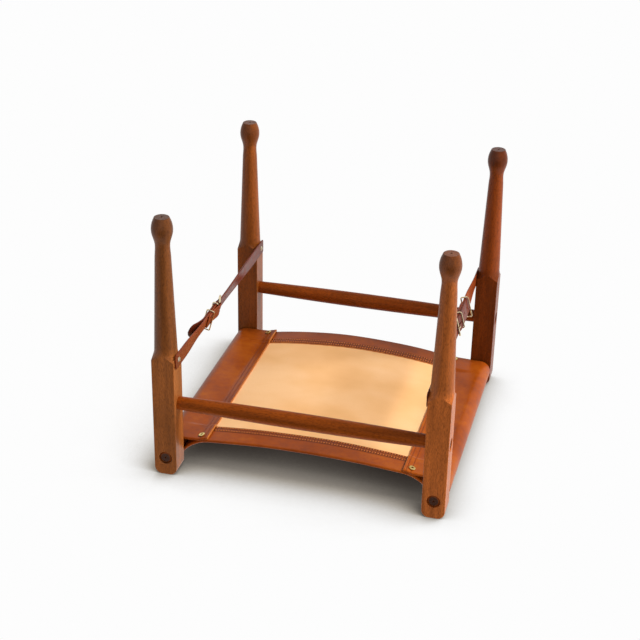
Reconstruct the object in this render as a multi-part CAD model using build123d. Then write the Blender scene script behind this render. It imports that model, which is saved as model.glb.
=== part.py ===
from build123d import *
import math
import os

# Knock-down safari stool, upright on its feet, in millimetres.
# +X is to the right, +Y to the rear and +Z up, with the origin on the floor under the middle.
# The leather seat runs between two rods that lie front to back, and two stretchers run left to right.

# Driving sizes of the whole stool
leg_height = 429
leg_side = 36
leg_spacing_x = 424
leg_spacing_y = 426
cut_overrun = 5

# Legs: turned below the junction, square above it
arris_round = 1.2
leg_top_round = 12
foot_radius = 11.8
foot_edge_round = 1.2
bulb_radius = 16.2
bulb_height = 19
neck_radius = 11.2
neck_height = 45
taper_start_radius = 12.2
taper_start_height = 62
taper_end_radius = 17.7
junction_height = 216
shoulder_rise = 14
shoulder_end_degrees = 35
lathe_hole_radius = 1.6
lathe_hole_depth = 3

# Round through tenons of the rods and stretchers in the legs
tenon_bore_radius = 10.5
tenon_clearance = 0.05
tenon_recess = 1.5
tenon_chamfer = 3
bore_chamfer = 0.7
rod_drop = 29.5
stretcher_height = 307
stretcher_middle_radius = 12.9
rod_radius = 13.5
rod_shoulder_gap = 0.2
rod_shoulder_round = 1.5

# Leather seat: one piece whose ends wrap the rods and whose front and rear edges are folded under
leather = 3
hem_ply = 1.5
hem_width = 45
sleeve_clearance = 0.05
seat_end_gap = 2.5
flap_inset = 55
flap_drop = 14.5
seam_width = 15
seat_sag = 11

# Hollow brass rivets at the corners of the flaps
eyelet_flange_radius = 5
eyelet_flange = 0.8
eyelet_barrel_radius = 3
eyelet_hole_radius = 2
eyelet_from_edge = 9
eyelet_from_end = 11
eyelet_seat_gap = 0.3

# Straps between the front and rear legs
strap_width = 24
strap_thickness = 2.5
strap_height = 231
strap_end_reach = 12
strap_straight = 7
strap_twist_degrees = 15
buckle_twist_reach = 110
tail_twist_reach = 5
strap_sections = 5
screw_radius = 1.6
screw_length = 18
screw_head_radius = 4.8
screw_head_height = 2.4
screw_slot_width = 0.9
screw_slot_depth = 0.9
screw_clearance = 0.05

# Buckle: a wire frame on a folded strap end, a prong and two wire keepers
bar_reach = 33
frame_wire_radius = 1.5
frame_inner_width = 26
frame_inner_length = 17.5
frame_corner_radius = 3
fold_clearance = 0.1
fold_settle_length = 31
fold_end_length = 50
fold_press = 0.1
prong_wire_radius = 1.1
prong_clearance = 0.05
prong_eye_gap_degrees = 80
prong_slot_width = 4.4
keeper_wire_radius = 1.1
keeper_corner_radius = 2.4
keeper_side_gap = 0.6
keeper_face_gap = 0.3
keeper_hang = 8
keeper_slack = 0.7
keeper_loose_gap = 1.3
fixed_keeper_back = 8
right_keeper_back = 36
left_keeper_back = 65

# Tail strap through the buckle
tail_clearance = 0.3
tail_shift_start = 2
tail_shift_end = 3
right_tail_flat_reach = 90
right_tail_tip_reach = 132
right_tail_tip_spring = 10
left_tail_flat_reach = 99
left_tail_tip_reach = 110
left_tail_tip_spring = 0.8
tail_hole_radius = 1.8
tail_hole_pitch = 20
tail_hole_count = 3
prong_hole_length = 13
prong_hole_width = 3.2
prong_hole_centre_share = 0.36

# Sizes that follow from the ones above
leg_x = leg_spacing_x / 2
leg_y = leg_spacing_y / 2
inner_x = leg_x - leg_side / 2
inner_y = leg_y - leg_side / 2
outer_x = leg_x + leg_side / 2
outer_y = leg_y + leg_side / 2
rod_z = leg_height - rod_drop
tenon_radius = tenon_bore_radius - tenon_clearance
corner_radius = leg_side / math.sqrt(2)


def turned_profile():
    """Half outline of the turned leg, with a cove that flares out to the corners of the square."""
    foot_flat = (foot_radius - foot_edge_round, 0)
    foot_side = (foot_radius, foot_edge_round)
    bulb = (bulb_radius, bulb_height)
    neck = (neck_radius, neck_height)
    taper_start = (taper_start_radius, taper_start_height)
    taper_end = (taper_end_radius, junction_height)
    shoulder = (corner_radius, junction_height + shoulder_rise)
    shoulder_end = math.radians(shoulder_end_degrees)
    outside = (leg_side, shoulder[1])
    top_outside = (leg_side, leg_height + cut_overrun)
    top_axis = (0, leg_height + cut_overrun)
    taper_direction = (taper_end[0] - taper_start[0], taper_end[1] - taper_start[1])
    edges = [
        Line((0, 0), foot_flat),
        RadiusArc(foot_flat, foot_side, -foot_edge_round),
        Spline(foot_side, bulb, tangents=[(1, 2), (0, 1)]),
        Spline(bulb, neck, tangents=[(0, 1), (0, 1)]),
        Spline(neck, taper_start, tangents=[(0, 1), taper_direction]),
        Line(taper_start, taper_end),
        Spline(taper_end, shoulder, tangents=[taper_direction, (math.cos(shoulder_end), math.sin(shoulder_end))]),
        Line(shoulder, outside),
        Line(outside, top_outside),
        Line(top_outside, top_axis),
        Line(top_axis, (0, 0)),
    ]
    return make_face([Plane.XZ * edge for edge in edges])


def round_topped(width, height, radius, depth):
    """Upright prism of a rectangle whose two upper corners are rounded, along Y."""
    half = width / 2
    outline = [
        Line((-half, 0), (half, 0)),
        Line((half, 0), (half, height - radius)),
        RadiusArc((half, height - radius), (half - radius, height), -radius),
        Line((half - radius, height), (radius - half, height)),
        RadiusArc((radius - half, height), (-half, height - radius), -radius),
        Line((-half, height - radius), (-half, 0)),
    ]
    face = make_face([Plane.XZ * edge for edge in outline])
    return extrude(face, amount=depth / 2, both=True)


def bore(length, mouth_chamfer):
    """Cutter along +Z for a through bore, with a chamfered mouth at its upper end."""
    cutter = Cylinder(tenon_bore_radius, length + 2 * cut_overrun)
    mouth = Cone(tenon_bore_radius, tenon_bore_radius + mouth_chamfer, mouth_chamfer)
    lip = Cylinder(tenon_bore_radius + mouth_chamfer, cut_overrun)
    cutter += Pos(0, 0, (length - mouth_chamfer) / 2) * mouth
    return cutter + Pos(0, 0, (length + cut_overrun) / 2) * lip


def make_leg(side_x, side_y):
    """One leg at the corner that side_x and side_y name, each 1 or -1."""
    turned = revolve(turned_profile(), axis=Axis.Z)
    square = round_topped(leg_side, leg_height, leg_top_round, leg_side)
    ends = square.faces().sort_by(Axis.Y)
    leg = turned & fillet(ends[0].edges() + ends[-1].edges(), arris_round)
    leg -= Cylinder(lathe_hole_radius, 2 * lathe_hole_depth)
    rod_turn = Rot(-90 * side_y, 0, 0)
    stretcher_turn = Rot(0, 90 * side_x, 0)
    screw_turn = Rot(0, -90 * side_x, 0)
    leg -= Pos(0, 0, rod_z) * rod_turn * bore(leg_side, bore_chamfer)
    leg -= Pos(0, 0, stretcher_height) * stretcher_turn * bore(leg_side, bore_chamfer)
    pilot = Cylinder(screw_radius + screw_clearance, screw_length, align=(Align.CENTER, Align.CENTER, Align.MAX))
    leg -= Pos(-side_x * leg_side / 2, 0, strap_height) * screw_turn * pilot
    return Pos(side_x * leg_x, side_y * leg_y, 0) * leg


def make_stretcher(side_y):
    """Stretcher along X: swelling slowly from its two ends, which pass through the legs."""
    end = outer_x - tenon_recess
    swell = ThreePointArc((-inner_x, tenon_radius), (0, stretcher_middle_radius), (inner_x, tenon_radius))
    outline = [
        Line((-end, 0), (-end, tenon_radius - tenon_chamfer)),
        Line((-end, tenon_radius - tenon_chamfer), (tenon_chamfer - end, tenon_radius)),
        Line((tenon_chamfer - end, tenon_radius), (-inner_x, tenon_radius)),
        swell,
        Line((inner_x, tenon_radius), (end - tenon_chamfer, tenon_radius)),
        Line((end - tenon_chamfer, tenon_radius), (end, tenon_radius - tenon_chamfer)),
        Line((end, tenon_radius - tenon_chamfer), (end, 0)),
        Line((end, 0), (-end, 0)),
    ]
    body = revolve(make_face(outline), axis=Axis.X)
    for side in (-1, 1):
        body -= Pos(side * end, 0, 0) * Rot(0, 90, 0) * Cylinder(lathe_hole_radius, 2 * lathe_hole_depth)
    return Pos(0, side_y * leg_y, stretcher_height) * body


def make_rod(side_x):
    """Seat rod along Y: a round bar with a shoulder against each leg and a tenon through it."""
    shoulder = inner_y - rod_shoulder_gap
    end = outer_y - tenon_recess
    body = Cylinder(rod_radius, 2 * shoulder)
    body = fillet(body.edges(), rod_shoulder_round)
    tenons = Cylinder(tenon_radius, 2 * end)
    tenons = chamfer(tenons.edges(), tenon_chamfer)
    rod = body + tenons
    for side in (-1, 1):
        rod -= Pos(0, 0, side * end) * Cylinder(lathe_hole_radius, 2 * lathe_hole_depth)
    return Pos(side_x * leg_x, 0, rod_z) * Rot(90, 0, 0) * rod


# Seat section: x outwards from the middle and z up, for the side at +X.
# The grain side sags between the flap edges, rises in an arc and then wraps the rod.
sleeve_radius = rod_radius + sleeve_clearance + hem_ply + leather
flap_x = leg_x - flap_inset
flap_z = rod_z - flap_drop
sag_radius = (flap_x**2 + seat_sag**2) / (2 * seat_sag)
sag_angle = math.asin(flap_x / sag_radius)
rise_radius = (flap_inset**2 + flap_drop**2 - sleeve_radius**2) / (
    2 * (sleeve_radius - flap_inset * math.sin(sag_angle) + flap_drop * math.cos(sag_angle))
)
rise_x = flap_x - rise_radius * math.sin(sag_angle)
rise_z = flap_z + rise_radius * math.cos(sag_angle)
seam_x = flap_x + seam_width


def rise_height(x, depth):
    """Height of the rising arc at x, the given depth below the grain side."""
    return rise_z - math.sqrt((rise_radius + depth) ** 2 - (x - rise_x) ** 2)


def on_sleeve(radius, angle):
    """Point at that radius round the rod's axis, with the angle in radians from +X."""
    return (leg_x + radius * math.cos(angle), rod_z + radius * math.sin(angle))


def leave_angle(radius, point):
    """Angle at which a line from the point, below the rod, meets that radius as a tangent."""
    dx = point[0] - leg_x
    dz = point[1] - rod_z
    return math.atan2(dz, dx) + math.acos(radius / math.hypot(dx, dz))


def meet_angle():
    """Angle at which the rising arc meets the wrap round the rod."""
    return math.atan2(rise_z - rod_z, rise_x - leg_x)


def wrap_arc(radius, start, end):
    """Arc round the rod from one angle to another, by way of the outer side."""
    return ThreePointArc(on_sleeve(radius, start), on_sleeve(radius, (start + end) / 2), on_sleeve(radius, end))


def rise_arc(start_x, radius, depth):
    """Rising arc from start_x to where it meets the wrap of that radius."""
    end = on_sleeve(radius, meet_angle())
    middle_x = (start_x + end[0]) / 2
    return ThreePointArc(
        (start_x, rise_height(start_x, depth)), (middle_x, rise_height(middle_x, depth)), end
    )


def seat_face(ply):
    """Closed section of the seat where each layer is ply thick, with its two sleeves open."""
    stack = 2 * ply
    seam = (seam_x, rise_height(seam_x, 0) - stack)
    edge = (flap_x, flap_z - stack)
    leave = leave_angle(sleeve_radius, seam)
    top = (0, flap_z - seat_sag)
    flesh_edge = (flap_x, flap_z - ply)
    flesh_middle = (0, flap_z - seat_sag - ply)
    right = [
        ThreePointArc(top, arc_point(flap_x / 2, 0), (flap_x, flap_z)),
        rise_arc(flap_x, sleeve_radius, 0),
        wrap_arc(sleeve_radius, meet_angle(), leave),
        Line(on_sleeve(sleeve_radius, leave), seam),
        Line(seam, edge),
        Line(edge, flesh_edge),
        ThreePointArc(flesh_edge, arc_point(flap_x / 2, ply), flesh_middle),
    ]
    left = [edge.mirror(Plane.YZ) for edge in right]
    section = make_face(right + left)
    hollow = sleeve_hollow(ply)
    return section - hollow - hollow.mirror(Plane.YZ)


def arc_point(x, depth):
    """Point of the sagging part at x, the given depth below the grain side."""
    share = x / flap_x
    return (x, flap_z - seat_sag * (1 - share**2) - depth)


def sleeve_hollow(ply):
    """Drop-shaped room inside a sleeve, round the rod and narrowing to the seam."""
    radius = sleeve_radius - ply
    cusp = (seam_x, rise_height(seam_x, ply))
    leave = leave_angle(radius, cusp)
    outline = [
        rise_arc(seam_x, radius, ply),
        wrap_arc(radius, meet_angle(), leave),
        Line(on_sleeve(radius, leave), cusp),
    ]
    return make_face(outline)


def make_seat():
    """Leather seat: single leather in the middle and two layers along the front and rear."""
    half_depth = inner_y - seat_end_gap
    middle_half = half_depth - hem_width
    middle = extrude(Plane.XZ * seat_face(leather), amount=middle_half, both=True)
    hem = Plane.XZ * extrude(seat_face(leather + hem_ply), amount=hem_width)
    seat = middle + Pos(0, -middle_half, 0) * hem + Pos(0, half_depth, 0) * hem
    for side_x in (-1, 1):
        for side_y in (-1, 1):
            seat -= eyelet_place(side_x, side_y) * Cylinder(eyelet_barrel_radius, 4 * leather)
    return seat


def eyelet_place(side_x, side_y):
    """Middle of the four layers at one corner of a flap, with Z square to the leather."""
    angle = math.asin((flap_x + eyelet_from_edge - rise_x) / rise_radius)
    reach = rise_radius + leather + hem_ply
    x = rise_x + reach * math.sin(angle)
    z = rise_z - reach * math.cos(angle)
    y = inner_y - seat_end_gap - eyelet_from_end
    return Pos(side_x * x, side_y * y, z) * Rot(0, -side_x * math.degrees(angle), 0)


def make_eyelets():
    """Hollow rivets through the flap, its hem, the seat's hem and the seat."""
    stack = 2 * (leather + hem_ply) + 2 * eyelet_seat_gap
    rivet = Cylinder(eyelet_barrel_radius - screw_clearance, stack)
    flange = Cylinder(eyelet_flange_radius, eyelet_flange)
    for side in (-1, 1):
        rivet += Pos(0, 0, side * (stack + eyelet_flange) / 2) * flange
    rims = rivet.edges().filter_by(GeomType.CIRCLE).filter_by(lambda e: e.radius > eyelet_barrel_radius)
    outer_rims = [rim for rim in rims if abs(rim.center().Z) > (stack + eyelet_flange) / 2]
    rivet = fillet(outer_rims, eyelet_flange / 2)
    rivet -= Cylinder(eyelet_hole_radius, stack + 4 * eyelet_flange)
    corners = [(x, y) for x in (-1, 1) for y in (-1, 1)]
    return Compound(children=[eyelet_place(x, y) * rivet for x, y in corners])


# Strap parts are made for the right side, where the buckle strap is on the front leg.
# x runs outwards from the leg's inner face, y to the rear and z across the strap.
# The left side is the same set turned half round, with its buckle strap on the rear leg.
layer_x = -strap_thickness / 2
bar_x = -strap_thickness - fold_clearance - frame_wire_radius
bar_y = -bar_reach
outer_bar_x = tail_clearance + frame_wire_radius
frame_pitch = frame_inner_length + 2 * frame_wire_radius
outer_bar_y = bar_y + math.sqrt(frame_pitch**2 - (outer_bar_x - bar_x) ** 2)
tail_x = tail_clearance + strap_thickness / 2
second_ply_x = layer_x - strap_thickness + fold_press


def to_strap(shape, degrees=strap_twist_degrees):
    """Turn a strap part about the strap's middle line and carry it to its height on the right."""
    turned = Rot(0, degrees, 0) * Pos(-layer_x, 0, 0) * shape
    return Pos(inner_x + layer_x, 0, strap_height) * turned


def strap_section(y, degrees):
    """Cross-section of the strap at y, looking along it, after that much twist."""
    plane = Plane(origin=(inner_x + layer_x, y, strap_height), x_dir=(1, 0, 0), z_dir=(0, 1, 0))
    return plane * Rot(0, 0, degrees) * Rectangle(strap_thickness, strap_width)


def twisting_part(flat_y, twisted_y):
    """Strap from its flat end at the leg to the twisted stretch, easing in and out of the twist."""
    sections = []
    for step in range(strap_sections):
        share = step / (strap_sections - 1)
        ease = share * share * (3 - 2 * share)
        sections.append(strap_section(flat_y + (twisted_y - flat_y) * share, strap_twist_degrees * ease))
    return loft(sections)


def flat_end(side):
    """Strap end on a leg's inner face, with the screw's hole, as far as the twist's start."""
    start = leg_y + strap_end_reach
    end = inner_y - strap_straight
    length = start - end
    plate = Box(strap_thickness, length, strap_width)
    plate = fillet(plate.edges().filter_by(Axis.X).group_by(Axis.Y)[0 if side < 0 else -1], strap_thickness)
    plate = Pos(layer_x, side * (start + end) / 2, 0) * plate
    hole = Rot(0, 90, 0) * Cylinder(screw_radius + screw_clearance, 2 * strap_thickness)
    plate -= Pos(layer_x, side * leg_y, 0) * hole
    return Pos(inner_x, 0, strap_height) * plate


def strap_sweep(edges):
    """Strap carried along edges in the XY plane, with its width along Z."""
    path = Wire(edges)
    start = Plane(origin=path @ 0, x_dir=(0, 0, 1), z_dir=path % 0)
    return sweep(start * Rectangle(strap_width, strap_thickness), path=path)


def make_buckle_strap():
    """Right buckle strap: from the front leg to the buckle, round its bar and back on itself."""
    fold_x = 2 * bar_x - layer_x
    settle_y = bar_y - fold_settle_length
    outer = Box(strap_thickness, buckle_twist_reach - bar_reach, strap_width)
    outer = Pos(layer_x, -(buckle_twist_reach + bar_reach) / 2, 0) * outer
    turn_y = bar_y + layer_x - bar_x
    fold = strap_sweep(
        [
            ThreePointArc((layer_x, bar_y), (bar_x, turn_y), (fold_x, bar_y)),
            Spline((fold_x, bar_y), (second_ply_x, settle_y), tangents=[(0, -1), (0, -1)]),
            Line((second_ply_x, settle_y), (second_ply_x, bar_y - fold_end_length)),
        ]
    )
    slot = Pos(bar_x, bar_y, 0) * Box(
        4 * strap_thickness + 2 * frame_wire_radius, 4 * strap_thickness + 2 * frame_wire_radius, prong_slot_width
    )
    strap = to_strap(outer + fold - slot)
    strap += twisting_part(strap_straight - inner_y, -buckle_twist_reach)
    return strap + flat_end(-1)


def tail_edges(flat_reach, tip_reach, tip_spring):
    """Middle line of the tail from behind the buckle, over its bar, to the tip that springs away."""
    shift_start = (layer_x, outer_bar_y + tail_shift_start)
    shift_end = (tail_x, bar_y - tail_shift_end)
    lift = (tail_x, -flat_reach)
    tip = (tail_x + tip_spring, -tip_reach)
    return [
        Line((layer_x, tail_twist_reach), shift_start),
        Spline(shift_start, shift_end, tangents=[(0, -1), (0, -1)]),
        Line(shift_end, lift),
        Spline(lift, tip, tangents=[(0, -1), (tip_spring, flat_reach - tip_reach)]),
    ]


def tail_blank(tip_reach, tip_spring):
    """Side view of the tail with its rounded tip, as a cutter across the strap's thickness."""
    reach = tail_twist_reach + tip_reach
    body = SlotOverall(2 * reach, strap_width)
    plane = Plane(origin=(0, tail_twist_reach, 0), x_dir=(0, 1, 0), z_dir=(1, 0, 0))
    return extrude(plane * body, amount=2 * (tail_x + tip_spring), both=True)


def prong_hole_y():
    """Place along the strap where the prong crosses the tail."""
    return bar_y + (outer_bar_y - bar_y) * prong_hole_centre_share


def make_tail_strap(flat_reach, tip_reach, tip_spring):
    """Tail strap, placed on the right: from the rear leg through the buckle, with a row of holes."""
    tail = strap_sweep(tail_edges(flat_reach, tip_reach, tip_spring)) & tail_blank(tip_reach, tip_spring)
    across = Plane(origin=(0, prong_hole_y(), 0), x_dir=(0, 1, 0), z_dir=(1, 0, 0))
    cutter = extrude(across * SlotOverall(prong_hole_length, prong_hole_width), amount=2 * strap_thickness, both=True)
    tail -= cutter
    for index in range(tail_hole_count):
        y = prong_hole_y() - (index + 1) * tail_hole_pitch
        hole = Rot(0, 90, 0) * Cylinder(tail_hole_radius, 4 * strap_thickness)
        tail -= Pos(0, y, 0) * hole
    strap = to_strap(tail)
    strap += twisting_part(inner_y - strap_straight, tail_twist_reach)
    return strap + flat_end(1)


def wire_loop(length, width, corner, wire):
    """Closed wire rectangle in the XY plane, length along X and width along Y to the wire's middle."""
    path = Wire.make_rect(length, width).fillet_2d(corner, Wire.make_rect(length, width).vertices())
    start = Plane(origin=path @ 0, z_dir=path % 0)
    return sweep(start * Circle(wire), path=path)


def make_frame():
    """Right buckle frame: hinge bar in the strap's fold, outer bar over the tail."""
    tilt = math.degrees(math.atan2(outer_bar_x - bar_x, outer_bar_y - bar_y))
    width = frame_inner_width + 2 * frame_wire_radius
    loop = wire_loop(frame_pitch, width, frame_corner_radius, frame_wire_radius)
    loop = Pos(0, frame_pitch / 2, 0) * (Plane.YZ * loop)
    loop = Pos(bar_x, bar_y, 0) * Rot(0, 0, -tilt) * loop
    return to_strap(loop)


def make_prong():
    """Right prong: one wire, bent into an open eye round the hinge bar, that rests on the outer bar."""
    eye_radius = frame_wire_radius + prong_clearance + prong_wire_radius
    rest_x = outer_bar_x + frame_wire_radius + prong_clearance + prong_wire_radius
    tip_y = outer_bar_y + frame_wire_radius
    eye = CenterArc((bar_x, bar_y), eye_radius, prong_eye_gap_degrees, 360 - prong_eye_gap_degrees)
    start = (bar_x + eye_radius, bar_y)
    rest = (rest_x, outer_bar_y)
    shank = Spline(start, rest, (rest_x, tip_y), tangents=[(0, 1), (-prong_wire_radius, frame_pitch)])
    path = Wire([eye, shank])
    prong = sweep(Plane(origin=path @ 0, z_dir=path % 0) * Circle(prong_wire_radius), path=path)
    tip = Pos(rest_x, tip_y, 0) * Sphere(prong_wire_radius)
    return to_strap(prong + tip)


def make_keeper(back, inner_face_x, outer_gap, hang):
    """Wire keeper round the straps, behind the hinge bar by back; hang is its room above them."""
    inner_leg = inner_face_x - keeper_face_gap - keeper_wire_radius
    outer_leg = tail_x + strap_thickness / 2 + outer_gap + keeper_wire_radius
    low = -strap_width / 2 - keeper_side_gap - keeper_wire_radius
    high = strap_width / 2 + keeper_side_gap + keeper_wire_radius + hang
    loop = wire_loop(outer_leg - inner_leg, high - low, keeper_corner_radius, keeper_wire_radius)
    middle = Pos((inner_leg + outer_leg) / 2, bar_y - back, (low + high) / 2)
    return to_strap(middle * Rot(90, 0, 0) * loop)


def make_fixed_keeper():
    """Right fixed keeper, whose inner leg lies between the two layers of the buckle strap."""
    return make_keeper(fixed_keeper_back, -strap_thickness, keeper_face_gap, 0)


def make_loose_keeper(back):
    """Loose keeper that slides along the straps and hangs from one edge."""
    inner_face_x = second_ply_x - strap_thickness / 2 - keeper_slack
    return make_keeper(back, inner_face_x, keeper_loose_gap, keeper_hang)


def make_screws(side_y):
    """Two round-head screws of the front or rear legs, through the strap ends."""
    head = Sphere(screw_head_radius)
    head = Pos(0, 0, screw_head_height - screw_head_radius) * head
    head &= Pos(0, 0, screw_head_height / 2) * Cylinder(2 * screw_head_radius, screw_head_height)
    slot = Box(3 * screw_head_radius, screw_slot_width, 2 * screw_slot_depth)
    head -= Pos(0, 0, screw_head_height) * slot
    shank = Cylinder(screw_radius, screw_length, align=(Align.CENTER, Align.CENTER, Align.MAX))
    screw = head + shank
    screws = []
    for side_x in (-1, 1):
        x = side_x * (inner_x - strap_thickness)
        screws.append(Pos(x, side_y * leg_y, strap_height) * Rot(0, -90 * side_x, 0) * screw)
    return Compound(children=screws)


half_turn = Rot(0, 0, 180)

nodes = {
    "left_seat_rod": make_rod(-1),
    "right_seat_rod": make_rod(1),
    "seat_leather": make_seat(),
    "seat_eyelets": make_eyelets(),
    "front_left_leg": make_leg(-1, -1),
    "front_right_leg": make_leg(1, -1),
    "rear_left_leg": make_leg(-1, 1),
    "rear_right_leg": make_leg(1, 1),
    "front_stretcher": make_stretcher(-1),
    "rear_stretcher": make_stretcher(1),
    "front_strap_screws": make_screws(-1),
    "rear_strap_screws": make_screws(1),
    "right_buckle_strap": make_buckle_strap(),
    "right_tail_strap": make_tail_strap(right_tail_flat_reach, right_tail_tip_reach, right_tail_tip_spring),
    "right_buckle_frame": make_frame(),
    "right_buckle_prong": make_prong(),
    "right_fixed_keeper": make_fixed_keeper(),
    "right_loose_keeper": make_loose_keeper(right_keeper_back),
    "left_buckle_strap": half_turn * make_buckle_strap(),
    "left_tail_strap": half_turn
    * make_tail_strap(left_tail_flat_reach, left_tail_tip_reach, left_tail_tip_spring),
    "left_buckle_frame": half_turn * make_frame(),
    "left_buckle_prong": half_turn * make_prong(),
    "left_fixed_keeper": half_turn * make_fixed_keeper(),
    "left_loose_keeper": half_turn * make_loose_keeper(left_keeper_back),
}

os.makedirs("parts", exist_ok=True)
for name, shape in nodes.items():
    export_step(shape, f"parts/{name}.step")
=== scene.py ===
import math

import bmesh
import bpy
import numpy as np
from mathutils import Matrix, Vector


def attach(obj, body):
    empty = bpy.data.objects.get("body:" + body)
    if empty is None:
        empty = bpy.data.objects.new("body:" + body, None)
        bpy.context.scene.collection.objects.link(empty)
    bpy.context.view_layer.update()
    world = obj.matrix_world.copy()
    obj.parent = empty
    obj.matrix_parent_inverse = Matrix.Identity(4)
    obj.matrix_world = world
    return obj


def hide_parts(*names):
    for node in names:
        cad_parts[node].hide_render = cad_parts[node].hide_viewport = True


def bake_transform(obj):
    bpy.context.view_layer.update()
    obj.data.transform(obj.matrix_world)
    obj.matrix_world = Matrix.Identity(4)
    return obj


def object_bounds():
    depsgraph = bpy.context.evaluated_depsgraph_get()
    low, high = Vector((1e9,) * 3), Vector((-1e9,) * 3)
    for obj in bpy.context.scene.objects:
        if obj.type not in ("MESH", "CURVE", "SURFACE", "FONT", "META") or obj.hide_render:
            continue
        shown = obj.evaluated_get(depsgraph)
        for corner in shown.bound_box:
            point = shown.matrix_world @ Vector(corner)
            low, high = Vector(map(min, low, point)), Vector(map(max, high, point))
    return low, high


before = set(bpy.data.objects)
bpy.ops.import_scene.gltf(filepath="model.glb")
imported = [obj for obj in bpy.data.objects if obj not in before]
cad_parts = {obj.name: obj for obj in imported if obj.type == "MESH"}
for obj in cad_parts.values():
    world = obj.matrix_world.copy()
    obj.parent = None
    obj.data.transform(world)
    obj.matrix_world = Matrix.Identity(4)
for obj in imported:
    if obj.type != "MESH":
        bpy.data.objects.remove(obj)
cadBox = [list(map(float, corner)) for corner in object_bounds()]
print("frame loaded:", len(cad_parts), "nodes")

mm = 0.001
cutterSides = 24
roundAngles = np.radians([30, 55, 75, 90])  # where a rounded end or edge is sampled


# Numbers to surfaces
def smooth(t):
    # 3t^2 - 2t^3, held between 0 and 1
    t = np.clip(t, 0.0, 1.0)
    return t * t * (3 - 2 * t)


def ringQuads(rings, count):
    # quads that join ring i to ring i + 1 and each ring's end to its start, as numbers of vertices
    i, j = np.meshgrid(np.arange(rings - 1), np.arange(count), indexing="ij")
    here, beside = i * count + j, i * count + (j + 1) % count
    return np.stack([here, beside, beside + count, here + count], -1).reshape(-1, 4)


def gridMesh(name, points, uv=None, zones=None, weld=0.02 * mm):
    # points is rings x ring length x 3, and every ring is closed. uv and zones, the number of each face's
    # material, are given per point
    rings, count = points.shape[:2]
    quads = ringQuads(rings, count)
    mesh = bpy.data.meshes.new(name)
    mesh.vertices.add(rings * count)
    mesh.vertices.foreach_set("co", points.reshape(-1, 3).astype(np.float32).ravel())
    mesh.loops.add(quads.size)
    mesh.loops.foreach_set("vertex_index", quads.ravel().astype(np.int32))
    mesh.polygons.add(len(quads))
    mesh.polygons.foreach_set("loop_start", np.arange(0, quads.size, 4, dtype=np.int32))
    mesh.update(calc_edges=True)
    if uv is not None:
        layer = mesh.uv_layers.new(name="cut")
        layer.data.foreach_set("uv", uv.reshape(-1, 2)[quads.ravel()].astype(np.float32).ravel())
    if zones is not None:
        mesh.polygons.foreach_set("material_index", zones[:-1].ravel().astype(np.int32))
    mesh.polygons.foreach_set("use_smooth", np.ones(len(quads), dtype=bool))
    mesh.validate()
    mesh.update()
    piece = bpy.data.objects.new(name, mesh)
    bpy.context.scene.collection.objects.link(piece)
    tidyMesh(piece, weld)
    return piece


def tidyMesh(piece, weld):
    # welds the collapsed end rings and turns every face outwards
    bm = bmesh.new()
    bm.from_mesh(piece.data)
    bmesh.ops.remove_doubles(bm, verts=bm.verts, dist=weld)
    bmesh.ops.dissolve_degenerate(bm, edges=bm.edges, dist=weld / 10)
    bmesh.ops.recalc_face_normals(bm, faces=bm.faces)
    bm.to_mesh(piece.data)
    bm.free()


def applyModifiers(piece):
    # bakes the modifiers into the mesh and removes them
    graph = bpy.context.evaluated_depsgraph_get()
    mesh = bpy.data.meshes.new_from_object(piece.evaluated_get(graph), depsgraph=graph)
    piece.modifiers.clear()
    old = piece.data
    piece.data = mesh
    bpy.data.meshes.remove(old)


def cutHoles(piece, holes):
    # each hole is (centre, long axis, cross axis, half length, half width, depth): a slot with round ends
    for number, (centre, longAxis, crossAxis, halfLength, halfWidth, depth) in enumerate(holes):
        turn = np.linspace(0, 2 * np.pi, cutterSides + 1)[:-1]
        straight = max(halfLength - halfWidth, 0)
        along = halfWidth * np.cos(turn) + straight * np.sign(np.cos(turn))
        across = halfWidth * np.sin(turn)
        through = np.cross(longAxis, crossAxis)
        ring = centre + along[:, None] * longAxis + across[:, None] * crossAxis
        low, high = ring - depth * through, ring + depth * through
        middleLow, middleHigh = low.mean(axis=0) + 0 * low, high.mean(axis=0) + 0 * high
        cutter = gridMesh(f"cutter{number}", np.stack([middleLow, low, high, middleHigh]))
        cut = piece.modifiers.new("hole", "BOOLEAN")
        cut.operation = "DIFFERENCE"
        cut.solver = "EXACT"
        cut.object = cutter
        applyModifiers(piece)
        bpy.data.objects.remove(cutter)


# Nodes
def srgb(code, share=1.0):
    # "#rrggbb" to linear red, green, blue and 1, made lighter or darker by share as the same hue
    values = [int(code[i:i + 2], 16) / 255 for i in (1, 3, 5)]
    linear = [v / 12.92 if v <= 0.04045 else ((v + 0.055) / 1.055) ** 2.4 for v in values]
    return [min(1.0, v * share) for v in linear] + [1.0]


def addNode(tree, kind, settings):
    # makes a node. A setting is a property, a socket's number or colour, or what is linked to that socket:
    # an output, or another node, whose first live output is meant. A Mix node has its amount on socket 0 and
    # its colours on 6 and 7. "stops" are a colour ramp's (place, hex) pairs.
    node = tree.nodes.new("ShaderNode" + kind)
    for key, value in settings.items():
        if isinstance(value, bpy.types.Node):
            value = next(output for output in value.outputs if output.enabled)
        if isinstance(value, bpy.types.NodeSocket):
            tree.links.new(value, node.inputs[key])
        elif key == "stops":
            elements = node.color_ramp.elements
            for element, (place, code) in zip(elements, (value[0], value[-1])):
                element.position, element.color = place, srgb(code)
            for place, code in value[1:-1]:
                elements.new(place).color = srgb(code)
        elif isinstance(key, str) and hasattr(node, key):
            setattr(node, key, value)
        else:
            node.inputs[key].default_value = value
    return node


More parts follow.
